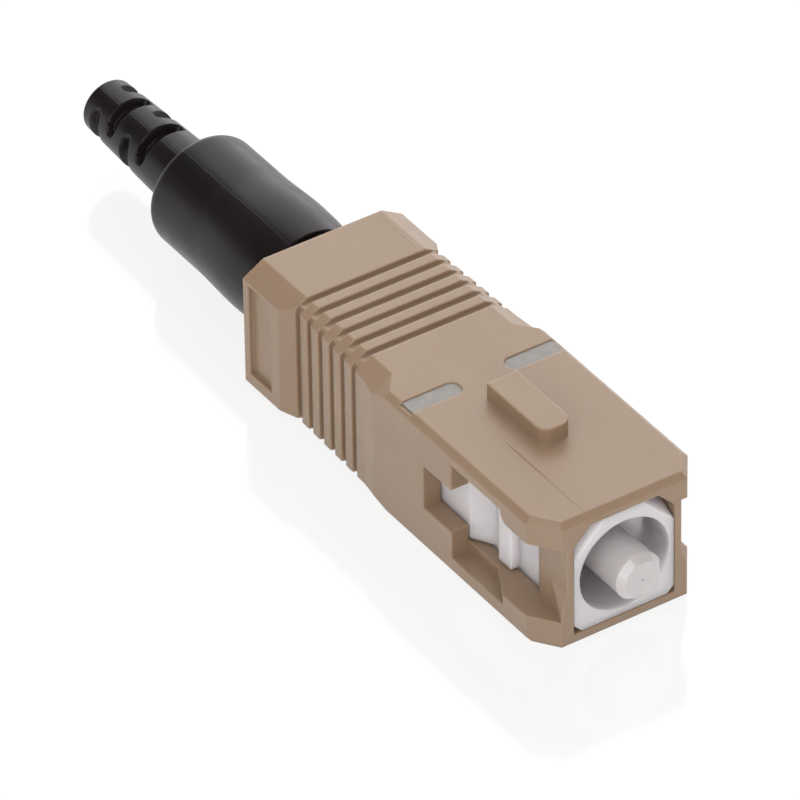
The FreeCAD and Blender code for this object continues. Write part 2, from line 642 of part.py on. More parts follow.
def make_plug_frame():
    body = new_body("plug_frame")
    half = nose_half
    front = new_sketch(body, "section", "YZ_Plane", 0)
    add_polygon(front, [(corner_bottom - half, -frame_bottom), (half - corner_bottom, -frame_bottom),
                        (half, corner_bottom - frame_bottom), (half, frame_top - corner_top),
                        (half - corner_top, frame_top), (corner_top - half, frame_top),
                        (-half, frame_top - corner_top), (-half, corner_bottom - frame_bottom)])
    extrude(body, "Pad", "nose", front, frame_length, backwards=True)

    # latch lugs, the waist that widens behind them and the rear guide
    high = frame_top - corner_top
    lugs = new_sketch(body, "lug_plan", "XY_Plane", -waist_low)
    add_box(lugs, -(lug_front + lug_length), -lug_front, -lug_half, lug_half)
    extrude(body, "Pad", "lugs", lugs, high + waist_low)
    waist = new_sketch(body, "waist_plan", "XY_Plane", -waist_low)
    add_polygon(waist, [(-guide_front, -guide_half), (-waist_end, -guide_half), (-waist_front, -half),
                        (-waist_front, half), (-waist_end, guide_half), (-guide_front, guide_half)])
    extrude(body, "Pad", "waist", waist, high + waist_low)
    guide = new_sketch(body, "guide_section", "YZ_Plane", -guide_front)
    wide = guide_half
    add_polygon(guide, [(corner_bottom - wide, -frame_bottom), (wide - corner_bottom, -frame_bottom),
                        (wide, corner_bottom - frame_bottom), (wide, frame_top - corner_top),
                        (wide - corner_top, frame_top), (corner_top - wide, frame_top),
                        (-wide, frame_top - corner_top), (-wide, corner_bottom - frame_bottom)])
    extrude(body, "Pad", "guide", guide, frame_length - guide_front, backwards=True)

    # lead-in on the two upper corners
    sections = []
    for name, depth, amount in (("lead_front", 0, corner_lead), ("lead_rear", lead_length, corner_top)):
        sketch = new_sketch(body, name, "YZ_Plane", -as_size(depth))
        add_polygon(sketch, [(half - amount, frame_top), (half, frame_top - amount),
                             (half + BEYOND, frame_top - amount), (half + BEYOND, frame_top + BEYOND),
                             (half - amount, frame_top + BEYOND)])
        sections.append(sketch)
    lead = body.newObject("PartDesign::SubtractiveLoft", "lead_in")
    lead.Profile = sections[0]
    lead.Sections = sections[1:]
    lead.Ruled = True
    mirror(body, "lead_in_pair", [lead], "XZ_Plane")

    # stepped bore along the axis
    bores = (("sleeve", 0, sleeve_depth, sleeve_bore), ("stop", 0, stop_rear, stop_hole),
             ("spring", stop_rear, frame_length + BEYOND, spring_bore))
    for name, start, end, radius in bores:
        sketch = new_sketch(body, name + "_circle", "YZ_Plane", -as_size(start))
        add_circle(sketch, radius)
        extrude(body, "Pocket", name + "_bore", sketch, end - start)

    # windows for the rear body's snap lugs
    snap = new_sketch(body, "snap_plan", "XY_Plane", 0)
    add_box(snap, -snap_rear, -snap_front, -snap_width / 2, snap_width / 2)
    extrude(body, "Pocket", "snap_windows", snap, (frame_top + frame_bottom) * 2, both_ways=True)
    return body


# Ferrule and fibre

def make_ferrule():
    body = new_body("ferrule")
    tip = ferrule_reach
    turn(body, "Revolution", "ferrule_body",
         [(tip, ferrule_hole), (tip, ferrule_radius - tip_fall), (tip - tip_run, ferrule_radius),
          (-holder_front, ferrule_radius), (-ferrule_rear, ferrule_radius - press_taper),
          (-ferrule_rear, funnel_radius), (funnel_length - ferrule_rear, ferrule_hole)])
    return body


def make_fibre_stub():
    body = new_body("fibre_stub")
    sketch = new_sketch(body, "fibre_circle", "YZ_Plane", ferrule_reach - slip_gap)
    add_circle(sketch, fibre_radius)
    extrude(body, "Pad", "fibre", sketch, fibre_length, backwards=True)
    return body


# Ferrule holder: cup, flange and the barrel that holds the splice

def make_ferrule_holder():
    body = new_body("ferrule_holder")
    turn(body, "Revolution", "holder_body",
         [(-holder_front, cup_bore), (-holder_front, cup_wall),
          (-flange_front, cup_wall), (-flange_front, flange_radius),
          (-flange_rear, flange_radius), (-flange_rear, barrel_radius),
          (-collar_front, barrel_radius), (-collar_front, collar_radius),
          (-barrel_end, collar_radius), (-barrel_end, pocket_radius),
          (-(ferrule_rear + slip_gap), pocket_radius), (-(ferrule_rear + slip_gap), cup_bore)])
    slot = new_sketch(body, "keel_slot", "XY_Plane", 0)
    add_box(slot, -(keel_rear + slip_gap), slip_gap - keel_front,
            -(keel_width / 2 + slip_gap), keel_width / 2 + slip_gap)
    extrude(body, "Pocket", "slot_cut", slot, barrel_radius * 2, backwards=True)
    return body


def splice_half(label, corners):
    """One half of the splice: the part of a rod that the given cross-section keeps."""
    body = new_body(label)
    rod = new_sketch(body, label + "_circle", "YZ_Plane", -splice_front)
    add_circle(rod, splice_radius)
    extrude(body, "Pad", label + "_rod", rod, splice_rear - splice_front, backwards=True)
    cut = new_sketch(body, label + "_cut", "YZ_Plane", -splice_front)
    add_polygon(cut, corners)
    extrude(body, "Pocket", label + "_face", cut, splice_rear - splice_front)
    return body


def make_splice_base():
    wide = pocket_radius + BEYOND
    groove_half = groove_apex + base_face
    return splice_half("splice_base", [(-wide, base_face), (-groove_half, base_face),
                                       (0, -groove_apex), (groove_half, base_face),
                                       (wide, base_face), (wide, wide), (-wide, wide)])


def make_splice_lid():
    wide = pocket_radius + BEYOND
    body = splice_half("splice_lid", [(-wide, lid_face), (-wide, -wide), (wide, -wide), (wide, lid_face)])
    keel = new_sketch(body, "keel_plan", "XY_Plane", pocket_radius / 2)
    add_box(keel, -keel_rear, -keel_front, -keel_width / 2, keel_width / 2)
    extrude(body, "Pad", "keel", keel, keel_height - pocket_radius / 2)
    return body


# Cam sleeve: turned a quarter, it presses the splice lid down on the fibres

def make_cam_sleeve():
    body = new_body("cam_sleeve")
    turn(body, "Revolution", "sleeve",
         [(-cam_front, cam_bore), (-cam_front, cam_radius), (-cam_end, cam_radius), (-cam_end, cam_bore)])
    relief = new_sketch(body, "relief_section", "YZ_Plane", BEYOND - cam_front)
    add_box(relief, -relief_width / 2, relief_width / 2, 0, cam_relief)
    extrude(body, "Pocket", "relief", relief, keel_rear + BEYOND * 2 - cam_front)
    flats = new_sketch(body, "wrench_flats", "YZ_Plane", -(cam_end - flat_length))
    add_box(flats, -(cam_radius + BEYOND), cam_radius + BEYOND, flat_gap / 2, cam_radius + BEYOND)
    cut = extrude(body, "Pocket", "wrench_flat", flats, flat_length + BEYOND)
    mirror(body, "wrench_flat_pair", [cut], "XY_Plane")
    return body


# Spring behind the flange

def make_spring():
    """Round wire on a helix between the holder's flange and the rear body's lip."""
    travel = spring_space - spring_wire * 2 - press_gap * 2
    helix = doc.addObject("Part::Helix", "spring_path")
    bind(helix, "Radius", spring_radius)
    bind(helix, "Height", travel)
    bind(helix, "Pitch", travel / spring_turns)
    wire = doc.addObject("Part::RegularPolygon", "spring_section")
    wire.Polygon = WIRE_SIDES
    bind(wire, "Circumradius", spring_wire)
    wire.Placement = FreeCAD.Placement(Vector(0, 0, 0), FreeCAD.Rotation(X_DIRECTION, 90))
    bind(wire, "Placement.Base.x", spring_radius)
    sweep = doc.addObject("Part::Sweep", "spring")
    sweep.Label = "spring"
    sweep.Sections = [wire]
    sweep.Spine = (helix, ["Edge1"])
    sweep.Solid = True
    sweep.Frenet = True
    sweep.Placement = FreeCAD.Placement(Vector(0, 0, 0), FreeCAD.Rotation(Vector(0, 1, 0), 90))
    bind(sweep, "Placement.Base.x", spring_wire + press_gap - lip_front)
    return sweep


# Rear body: carries the spring, snaps into the frame and holds the boot

def make_rear_body():
    body = new_body("rear_body")
    corners = [(-lip_front, lip_hole), (-lip_front, tube_radius), (-seat_front, tube_radius),
               (-seat_front, seat_radius), (-seat_rear, seat_radius), (-seat_rear, tail_radius)]
    for index in range(round(barb_count.value)):
        start = neck_front + slip_gap * 2 + barb_pitch * index
        corners += [(-start, tail_radius), (-start, tail_radius + barb_height),
                    (-(start + barb_length), tail_radius)]
    corners += [(-tube_end, tail_radius), (-tube_end, tube_bore),
                (-lip_rear, tube_bore), (-lip_rear, lip_hole)]
    turn(body, "Revolution", "rear_tube", corners)

    # snap lugs, sloped towards the front
    lug = new_sketch(body, "snap_profile", "XZ_Plane", 0)
    root = tube_radius - tube_wall / 2
    add_polygon(lug, [(slip_gap * 2 - snap_rear, root), (-(snap_front + slip_gap), root),
                      (-(snap_front + slip_gap), tube_radius + NEAR),
                      (slip_gap * 2 - snap_rear, tube_radius + snap_height)])
    snap = extrude(body, "Pad", "snap_lug", lug, snap_width - slip_gap * 4, both_ways=True)
    mirror(body, "snap_lug_pair", [snap], "XY_Plane")
    return body


# Lead-in tube and crimp tube behind the splice

def make_lead_in_tube():
    body = new_body("lead_in_tube")
    start = splice_rear + slip_gap
    turn(body, "Revolution", "lead_in",
         [(-start, lead_tip), (-start, splice_radius), (-barrel_end, splice_radius),
          (-barrel_end, lead_radius), (-lead_end, lead_radius), (-lead_end, lead_bore),
          (-(start + lead_funnel), lead_bore)])
    return body


def make_crimp_tube():
    body = new_body("crimp_tube")
    turn(body, "Revolution", "crimp",
         [(-(barrel_end + slip_gap), crimp_bore), (-(barrel_end + slip_gap), crimp_radius),
          (-crimp_end, crimp_radius), (-crimp_end, crimp_bore)])
    return body


# Boot: neck in the grip, thick sleeve and slotted strain relief

def make_boot():
    body = new_body("boot")
    corners = [(-neck_front, neck_bore), (-neck_front, neck_radius), (-boot_front, neck_radius)]
    for step in range(BELLY_STEPS):
        share = step / BELLY_STEPS
        corners.append((-(boot_front + boot_swell * share), belly_radius - boot_fall * (1 - share) ** 2))
    for step in range(BELLY_STEPS + 1):
        share = step / BELLY_STEPS
        corners.append((-(boot_front + boot_swell + belly_run * share),
                        belly_radius - boot_belly * (share * share * (3 - 2 * share))))
    for step in range(ROUND_STEPS + 1):
        angle = math.pi / 2 * step / ROUND_STEPS
        corners.append((-(boot_rear - boot_round * (1 - math.sin(angle))),
                        boot_radius - boot_round * (1 - math.cos(angle))))
    corners += [(-boot_rear, relief_root), (-boot_end, relief_tip),
                (-boot_end, cable_bore), (-chamber_end, cable_bore), (-chamber_end, boot_chamber),
                (-chamber_front, boot_chamber), (-chamber_front, neck_bore)]
    turn(body, "Revolution", "boot_body", corners)

    # two rows of slots through the sides and two through the top and underside
    keep = relief_tip - slot_bridge
    for name, plane, first in (("side_slots", "XZ_Plane", 0), ("top_slots", "XY_Plane", 1)):
        sketch = new_sketch(body, name, plane, 0)
        for row in (first, first + 2):
            middle = slot_first + slot_pitch * row - boot_end
            add_polygon(sketch, [(middle - slot_width / 2, slot_point - keep), (middle, -keep),
                                 (middle + slot_width / 2, slot_point - keep),
                                 (middle + slot_width / 2, keep - slot_point), (middle, keep),
                                 (middle - slot_width / 2, keep - slot_point)])
        extrude(body, "Pocket", name + "_cut", sketch, relief_root * 4, both_ways=True)
    body.Placement = FreeCAD.Placement(Vector(0, 0, 0), FreeCAD.Rotation(X_DIRECTION, boot_turn.value))
    bind(body, "Placement.Rotation.Angle", boot_turn)
    return body


# Build, check and write every piece

def build():
    return [make_grip_housing(), make_seating_mark("seating_mark_left", 1),
            make_seating_mark("seating_mark_right", -1), make_plug_frame(), make_ferrule(),
            make_fibre_stub(), make_ferrule_holder(), make_splice_base(), make_splice_lid(),
            make_cam_sleeve(), make_spring(), make_rear_body(), make_lead_in_tube(),
            make_crimp_tube(), make_boot()]


def check(pieces):
    for item in doc.Objects:
        if "Invalid" in item.State or "Error" in item.State:
            raise RuntimeError(item.Name + " failed: " + str(item.State))
    for piece in pieces:
        if piece.Shape.isNull() or not piece.Shape.isValid() or not piece.Shape.Solids:
            raise RuntimeError(piece.Label + " has no valid solid")


pieces = build()
doc.recompute()
check(pieces)
os.makedirs("parts", exist_ok=True)
for piece in pieces:
    piece.Shape.exportStep("parts/" + piece.Label + ".step")
    box = piece.Shape.BoundBox
    print("%-20s solids %d volume %.3f x %.2f..%.2f y %.2f..%.2f z %.2f..%.2f" % (
        piece.Label, len(piece.Shape.Solids), piece.Shape.Volume,
        box.XMin, box.XMax, box.YMin, box.YMax, box.ZMin, box.ZMax))
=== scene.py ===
"""Looks of a field-fitted fibre connector: its finishes, its smooth boot and spring, and a white studio."""
import math

import bmesh
import bpy
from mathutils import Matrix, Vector
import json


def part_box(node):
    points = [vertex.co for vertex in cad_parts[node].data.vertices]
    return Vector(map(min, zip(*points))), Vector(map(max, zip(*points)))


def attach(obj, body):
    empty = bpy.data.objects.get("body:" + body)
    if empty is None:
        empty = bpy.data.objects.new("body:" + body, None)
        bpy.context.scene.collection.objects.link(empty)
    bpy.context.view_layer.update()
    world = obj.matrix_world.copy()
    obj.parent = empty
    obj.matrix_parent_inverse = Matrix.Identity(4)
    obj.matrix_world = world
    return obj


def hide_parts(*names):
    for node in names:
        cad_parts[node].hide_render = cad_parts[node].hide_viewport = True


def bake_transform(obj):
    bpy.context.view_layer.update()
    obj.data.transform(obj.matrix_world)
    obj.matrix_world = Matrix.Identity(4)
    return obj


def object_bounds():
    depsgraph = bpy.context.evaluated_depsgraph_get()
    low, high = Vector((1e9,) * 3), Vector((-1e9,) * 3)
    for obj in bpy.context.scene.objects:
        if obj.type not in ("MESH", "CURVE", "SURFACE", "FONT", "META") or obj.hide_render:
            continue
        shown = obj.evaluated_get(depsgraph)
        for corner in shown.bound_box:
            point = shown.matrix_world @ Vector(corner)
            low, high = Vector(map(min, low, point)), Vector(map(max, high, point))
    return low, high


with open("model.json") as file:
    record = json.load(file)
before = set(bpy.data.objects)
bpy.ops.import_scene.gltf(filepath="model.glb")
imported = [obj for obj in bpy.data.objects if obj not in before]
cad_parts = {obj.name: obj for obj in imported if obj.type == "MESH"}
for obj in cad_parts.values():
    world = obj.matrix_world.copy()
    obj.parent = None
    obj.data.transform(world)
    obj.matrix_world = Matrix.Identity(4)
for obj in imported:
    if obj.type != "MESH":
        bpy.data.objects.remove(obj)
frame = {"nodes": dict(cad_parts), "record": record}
cad_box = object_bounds()

MM = 0.001
HOUSING_HEIGHT = 7.0  # millimetres from the underside to the top face, without the key
BOOT_TURN = 22  # degrees from the top to the mould's parting line


# Colours and nodes

NOISE_LOW = 0.3  # the span that noise mostly fills
NOISE_HIGH = 0.7
BEVEL_SAMPLES = 8


def linear(red, green, blue):
    """An 8-bit screen colour as the linear colour that shaders take."""
    def channel(value):
        share = value / 255
        if share <= 0.04045:
            return share / 12.92
        return ((share + 0.055) / 1.055) ** 2.4
    return channel(red), channel(green), channel(blue), 1.0


def grey(level):
    """One level in all three channels."""
    return level, level, level, 1.0


class Nodes:
    """The node tree of a material or a world, built up from empty."""

    def __init__(self, owner):
        owner.use_nodes = True
        self.tree = owner.node_tree
        self.tree.nodes.clear()

    def feed(self, target, value):
        """Links another node's output to an input, or sets the input to a plain value."""
        if isinstance(value, bpy.types.NodeSocket):
            self.tree.links.new(value, target)
        else:
            target.default_value = value

    def add(self, kind, **values):
        """A new node whose inputs are fed by their names, with _ for a space."""
        node = self.tree.nodes.new(kind)
        for label, value in values.items():
            self.feed(node.inputs[label.replace("_", " ")], value)
        return node

    def fill(self, kind, *values):
        """A new node whose inputs are fed in their order."""
        node = self.tree.nodes.new(kind)
        for target, value in zip(node.inputs, values):
            self.feed(target, value)
        return node

    def maths(self, operation, *values):
        """The result of a Math node."""
        node = self.fill("ShaderNodeMath", *values)
        node.operation = operation
        return node.outputs["Value"]

    def ranged(self, value, low, high, to_low=0.0, to_high=1.0, curve="LINEAR"):
        """The value's place from low to high, as one from to_low to to_high and never past them."""
        node = self.add("ShaderNodeMapRange", Value=value, From_Min=low, From_Max=high,
                        To_Min=to_low, To_Max=to_high)
        node.interpolation_type = curve
        return node.outputs["Result"]

    def mix(self, share, first, second):
        """The colour first, moved towards second by share."""
        node = self.add("ShaderNodeMix", Factor=share)
        node.data_type = "RGBA"
        ends = [socket for socket in node.inputs if socket.type == "RGBA"]
        for target, colour in zip(ends, (first, second)):
            self.feed(target, colour)
        return next(socket for socket in node.outputs if socket.type == "RGBA")


class Finish(Nodes):
    """A material built from its principled shader and the node's own coordinates."""

    def __init__(self, name, roughness, **values):
        self.material = bpy.data.materials.new(name)
        super().__init__(self.material)
        self.surface = self.add("ShaderNodeBsdfPrincipled", Roughness=roughness, **values)
        self.add("ShaderNodeOutputMaterial", Surface=self.surface.outputs["BSDF"])
        self.place = self.add("ShaderNodeTexCoord").outputs["Object"]

    def axes(self):
        """The three coordinates of the shaded point, in metres."""
        apart = self.add("ShaderNodeSeparateXYZ", Vector=self.place)
        return [apart.outputs[label] for label in "XYZ"]

    def noise(self, size, detail=2, stretch=(1, 1, 1)):
        """Noise whose blotches measure about size, in metres, longer along an axis with a larger stretch."""
        scale = [1 / (size * share) for share in stretch]
        mapping = self.add("ShaderNodeMapping", Vector=self.place, Scale=scale)
        texture = self.add("ShaderNodeTexNoise", Vector=mapping.outputs["Vector"], Scale=1.0, Detail=detail)
        return texture.outputs["Fac"]

    def near(self, value, middle, reach, soft):
        """1 where value lies within reach of middle, falling to 0 over the distance soft beyond it."""
        away = self.maths("ABSOLUTE", self.maths("SUBTRACT", value, middle))
        return self.ranged(away, reach, reach + soft, to_low=1.0, to_high=0.0)

    def sum_of(self, first, first_share, second, second_share):
        """Two values, each times its share, added up."""
        return self.maths("MULTIPLY_ADD", first, first_share, self.maths("MULTIPLY", second, second_share))

    def colour(self, noise, low, high):
        """A base colour that wanders between low and high with the noise."""
        share = self.ranged(noise, NOISE_LOW, NOISE_HIGH)
        self.feed(self.surface.inputs["Base Color"], self.mix(share, low, high))

    def stain(self, share, colour):
        """Moves the base colour towards another one by share."""
        base = self.surface.inputs["Base Color"]
        self.feed(base, self.mix(share, base.links[0].from_socket, colour))

    def gloss(self, noise, spread):
        """Makes the roughness wander by spread, both ways, with the noise."""
        roughness = self.surface.inputs["Roughness"]
        low = roughness.default_value - spread
        high = roughness.default_value + spread
        self.feed(roughness, self.ranged(noise, NOISE_LOW, NOISE_HIGH, low, high))

    def relief(self, edge, *layers):
        """Softened edges of radius edge, and bump layers given as height and depth in metres."""
        normal = None
        if edge:
            bevel = self.add("ShaderNodeBevel", Radius=edge)
            bevel.samples = BEVEL_SAMPLES
            normal = bevel.outputs["Normal"]
        for height, depth in layers:
            bump = self.add("ShaderNodeBump", Height=height, Distance=depth, Strength=1.0)
            if normal:
                self.feed(bump.inputs["Normal"], normal)
            normal = bump.outputs["Normal"]
        self.feed(self.surface.inputs["Normal"], normal)


# Finishes

def top_seam(finish, across, rear, front, soft, fade):
    """A seam along the top face, blurred by soft at its sides and by fade at its ends; in millimetres."""
    x, y, z = finish.axes()
    on_top = finish.near(z, cad_box[0].z + HOUSING_HEIGHT * MM, reach=0.02 * MM, soft=0.02 * MM)
    line = finish.near(y, across * MM, reach=0.01 * MM, soft=soft * MM)
    length = finish.near(x, (rear + front) / 2 * MM, reach=(front - rear) / 2 * MM, soft=fade * MM)
    return finish.maths("MULTIPLY", finish.maths("MULTIPLY", on_top, line), length)


def grip_finish():
    finish = Finish("grip_moulding", 0.38, Specular_IOR_Level=0.7, Subsurface_Weight=0.6,
                    Subsurface_Scale=0.4 * MM, Subsurface_Radius=(1.0, 0.7, 0.5))
    flow = finish.noise(3.5 * MM, detail=3, stretch=(2.5, 1, 1))
    finish.colour(flow, linear(142, 118, 95), linear(147, 123, 100))
    finish.gloss(finish.noise(0.8 * MM, detail=3), spread=0.04)
    front_seam = top_seam(finish, across=-2.0, rear=-6.4, front=-0.6, soft=0.025, fade=0.3)
    rear_seam = top_seam(finish, across=3.05, rear=-24.45, front=-21.45, soft=0.03, fade=0.2)
    seams = finish.sum_of(front_seam, 1.0, rear_seam, 0.7)
    finish.stain(seams, linear(124, 98, 70))
    grain = finish.noise(0.12 * MM, detail=3)
    finish.relief(0.16 * MM, (grain, 0.0018 * MM), (seams, 0.012 * MM))
    return finish.material


def mark_finish():
    finish = Finish("mark_fill", 0.5)
    finish.colour(finish.noise(0.6 * MM, detail=3), linear(133, 128, 123), linear(144, 139, 134))
    finish.relief(0.03 * MM, (finish.noise(0.1 * MM), 0.003 * MM))
    return finish.material


def frame_finish():
    finish = Finish("frame_moulding", 0.37, Subsurface_Weight=1.0, Subsurface_Scale=1.6 * MM,
                    Subsurface_Radius=(1.0, 1.0, 1.0))
    finish.colour(finish.noise(2.5 * MM, detail=3), linear(205, 200, 202), linear(210, 205, 207))
    finish.gloss(finish.noise(0.6 * MM), spread=0.05)
    finish.relief(0.05 * MM, (finish.noise(0.15 * MM), 0.001 * MM))
    return finish.material


def ceramic_finish():
    finish = Finish("ferrule_zirconia", 0.13, IOR=1.9, Subsurface_Weight=0.1, Subsurface_Scale=0.3 * MM)
    finish.colour(finish.noise(0.7 * MM), linear(180, 174, 174), linear(186, 180, 180))
    finish.gloss(finish.noise(0.25 * MM), spread=0.03)
    grinding = finish.noise(0.05 * MM, stretch=(1, 4, 4))
    finish.relief(0.04 * MM, (grinding, 0.0002 * MM))
    return finish.material


def glass_finish():
    finish = Finish("fibre_silica", 0.03, IOR=1.46, Transmission_Weight=0.2)
    finish.colour(finish.noise(0.3 * MM), linear(222, 230, 234), linear(232, 238, 240))
    return finish.material


def inner_finish():
    finish = Finish("inner_moulding", 0.4, Subsurface_Weight=0.1, Subsurface_Scale=0.4 * MM)
    finish.colour(finish.noise(2 * MM, detail=3), linear(222, 217, 203), linear(228, 224, 211))
    finish.relief(0.04 * MM, (finish.noise(0.12 * MM), 0.001 * MM))
    return finish.material


def rear_finish():
    finish = Finish("rear_moulding", 0.45)
    finish.colour(finish.noise(2 * MM, detail=3), linear(46, 43, 42), linear(54, 51, 50))
    finish.relief(0.04 * MM, (finish.noise(0.12 * MM), 0.0015 * MM))
    return finish.material


def spring_finish():
    finish = Finish("spring_wire", 0.28, Metallic=1.0)
    tarnish = finish.noise(0.3 * MM, detail=3, stretch=(1, 3, 3))
    finish.colour(tarnish, linear(176, 176, 180), linear(196, 196, 200))
    drawing = finish.noise(0.04 * MM, stretch=(1, 6, 6))
    finish.relief(0, (drawing, 0.0008 * MM))
    return finish.material


def crimp_finish():
    finish = Finish("crimp_tube_metal", 0.34, Metallic=1.0)
    finish.colour(finish.noise(0.5 * MM, detail=3), linear(188, 188, 190), linear(204, 204, 206))
    turning = finish.noise(0.05 * MM, detail=3, stretch=(1, 8, 8))
    finish.relief(0.03 * MM, (turning, 0.001 * MM))
    return finish.material


def boot_finish():
    """Black rubber with fine grain, flow lines along it and a thin flash on the mould's parting line."""
    finish = Finish("boot_rubber_skin", 0.33, Specular_IOR_Level=0.34,
                    Specular_Tint=(1.0, 0.93, 0.93, 1.0))
    finish.colour(finish.noise(2.5 * MM, detail=3), linear(20, 16, 16), linear(26, 21, 21))
    finish.gloss(finish.noise(1.2 * MM, detail=4), spread=0.04)
    _, y, z = finish.axes()
    turn = math.radians(BOOT_TURN)
    parting = finish.sum_of(y, math.cos(turn), z, math.sin(turn))
    ridge = finish.near(parting, 0.0, reach=0.0, soft=0.6 * MM)
    flash = finish.near(parting, 0.0, reach=0.01 * MM, soft=0.03 * MM)
    grain = finish.noise(0.1 * MM, detail=3)
    flow = finish.noise(0.3 * MM, detail=3, stretch=(4, 1, 1))
    finish.relief(0.06 * MM, (grain, 0.0022 * MM), (flow, 0.006 * MM), (ridge, 0.007 * MM),
                  (flash, 0.005 * MM))
    return finish.material


def dress_nodes():
    """Gives each CAD node the finish of its material slot."""
    finishes = {
        "grip_plastic": grip_finish(),
        "mark_paint": mark_finish(),
        "frame_plastic": frame_finish(),
        "ferrule_ceramic": ceramic_finish(),
        "fibre_glass": glass_finish(),
        "inner_plastic": inner_finish(),
        "rear_plastic": rear_finish(),
        "spring_steel": spring_finish(),
        "crimp_metal": crimp_finish(),
        "boot_rubber": boot_finish(),
    }
    for entry in frame["record"]["subparts"]:
        target = frame["nodes"][entry["node"]]
        for material_slot in target.material_slots:
            material_slot.material = finishes[entry["material_slot"]]
    return finishes


# Pieces made of rings of points

SHARP_ANGLE = 40  # degrees from which an edge is shaded as a sharp one


def ring_piece(name, rings, joined, finish):
    """A smooth closed mesh through rings of points; its two ends meet each other or are capped."""
    sides = len(rings[0])
    points = [point for ring in rings for point in ring]
    faces = []
    for ring in range(len(rings) if joined else len(rings) - 1):
        here = ring * sides
        there = (ring + 1) % len(rings) * sides
        for side in range(sides):
            after = (side + 1) % sides
            faces.append((here + side, here + after, there + after, there + side))
    if not joined:
        faces.append(tuple(range(sides)))
        faces.append(tuple(range(len(points) - sides, len(points))))
    mesh = bpy.data.meshes.new(name)
    mesh.from_pydata(points, [], faces)
    mesh.materials.append(finish)
    shape = bmesh.new()
    shape.from_mesh(mesh)
    bmesh.ops.recalc_face_normals(shape, faces=shape.faces)
    shape.to_mesh(mesh)
    shape.free()
    mesh.shade_smooth()
    mesh.set_sharp_from_angle(angle=math.radians(SHARP_ANGLE))
    piece = bpy.data.objects.new(name, mesh)
    bpy.context.scene.collection.objects.link(piece)
    return piece


# Spring: round wire with closed end turns, made at the length of the spring node; sizes in millimetres

WIRE_RADIUS = 0.2
WIRE_SIDES = 12
OPEN_TURNS = 4
END_TURNS = 0.75
CLOSED_PITCH = 0.42
STEPS_PER_TURN = 48


def spring_line(low, high):
    """The points along the middle of the wire, each with its direction out from the spring's axis."""
    reach = high.z - WIRE_RADIUS
    start = low.x + WIRE_RADIUS
    open_pitch = (high.x - WIRE_RADIUS - start - 2 * END_TURNS * CLOSED_PITCH) / OPEN_TURNS
    turns = OPEN_TURNS + 2 * END_TURNS
    steps = round(turns * STEPS_PER_TURN)
    line = []
    for step in range(steps + 1):
        turn = turns * step / steps
        opened = min(max(turn - END_TURNS, 0), OPEN_TURNS)
        x = start + opened * open_pitch + (turn - opened) * CLOSED_PITCH
        angle = math.tau * turn
        line.append((Vector((x, reach * math.cos(angle), reach * math.sin(angle))),
                     Vector((0, math.cos(angle), math.sin(angle)))))
    return line


def make_spring(finish):
    """Lays rings of points square to the wire all along its line."""
    low, high = [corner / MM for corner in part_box("spring")]
    line = spring_line(low, high)
    rings = []
    for step, (place, outward) in enumerate(line):
        ahead = line[min(step + 1, len(line) - 1)][0] - line[max(step - 1, 0)][0]
        across = ahead.cross(outward).normalized()
        ring = []
        for side in range(WIRE_SIDES):
            angle = math.tau * side / WIRE_SIDES
            offset = outward * math.cos(angle) + across * math.sin(angle)
            ring.append((place + offset * WIRE_RADIUS) * MM)
        rings.append(ring)
    spring = ring_piece("spring_coil", rings, joined=False, finish=finish)
    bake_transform(spring)
    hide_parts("spring")


# Boot: one rubber moulding, from its neck in the grip to the slotted tail; sizes in millimetres

TAIL_LENGTH = 8.2
BARREL_LENGTH = 9.6
SHOULDER_LENGTH = 2.9  # from the barrel's front back to its fullest place
BELLY_LENGTH = 3.1  # from there back to where it runs even
SHOULDER_DROP = 0.18  # how much slimmer than the belly the barrel is at its front
EVEN_DROP = 0.12  # and how much slimmer where it runs even
EASE = 0.04  # what each sharp edge is broken by
REAR_ROUND = 0.5
ROOT_ROUND = 0.15

boot_low, boot_high = [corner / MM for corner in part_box("boot")]
TIP_X = boot_low.x
REAR_X = TIP_X + TAIL_LENGTH
SHOULDER_X = REAR_X + BARREL_LENGTH
BELLY_X = SHOULDER_X - SHOULDER_LENGTH
NECK_X = boot_high.x

BELLY_RADIUS = boot_high.y
FRONT_RADIUS = BELLY_RADIUS - SHOULDER_DROP
EVEN_RADIUS = BELLY_RADIUS - EVEN_DROP
TIP_RADIUS = 1.45
ROOT_RADIUS = 1.79
NECK_BORE = 2.36
NECK_RADIUS = 2.66
CABLE_BORE = 1.05
CHAMBER_RADIUS = 1.85
CHAMBER_INSET = 2.1
CHAMBER_LENGTH = 5.85
CHAMBER_REAR = REAR_X + CHAMBER_INSET
CHAMBER_FRONT = CHAMBER_REAR + CHAMBER_LENGTH

SLOT_ROWS = 4
SLOT_INSET = 1.05  # from the tail's tip to the middle of the first row
SLOT_PITCH = 1.4
SLOT_HALF = 0.36
SLOT_SOFT = 0.07
SLOT_SKIN = 0.07  # what a slot leaves over the bore
SLOT_SPAN = 61.0  # degrees from a slot's middle to its end
SLOT_RAMP = 9.0  # degrees over which a slot's end runs out
SLOT_BLUNTNESS = 4  # 2 would give a slot an elliptical outline, and more makes its ends blunter
SLOT_FLOOR = CABLE_BORE + SLOT_SKIN
QUARTER = 90  # degrees

BOOT_SIDES = 192
BARREL_STEPS = 48
TAIL_STEPS = 170
ARC_STEPS = 8


def smooth(share):
    """An S-curve from 0 to 1 that starts and ends level."""
    share = min(max(share, 0.0), 1.0)
    return share * share * (3 - 2 * share)


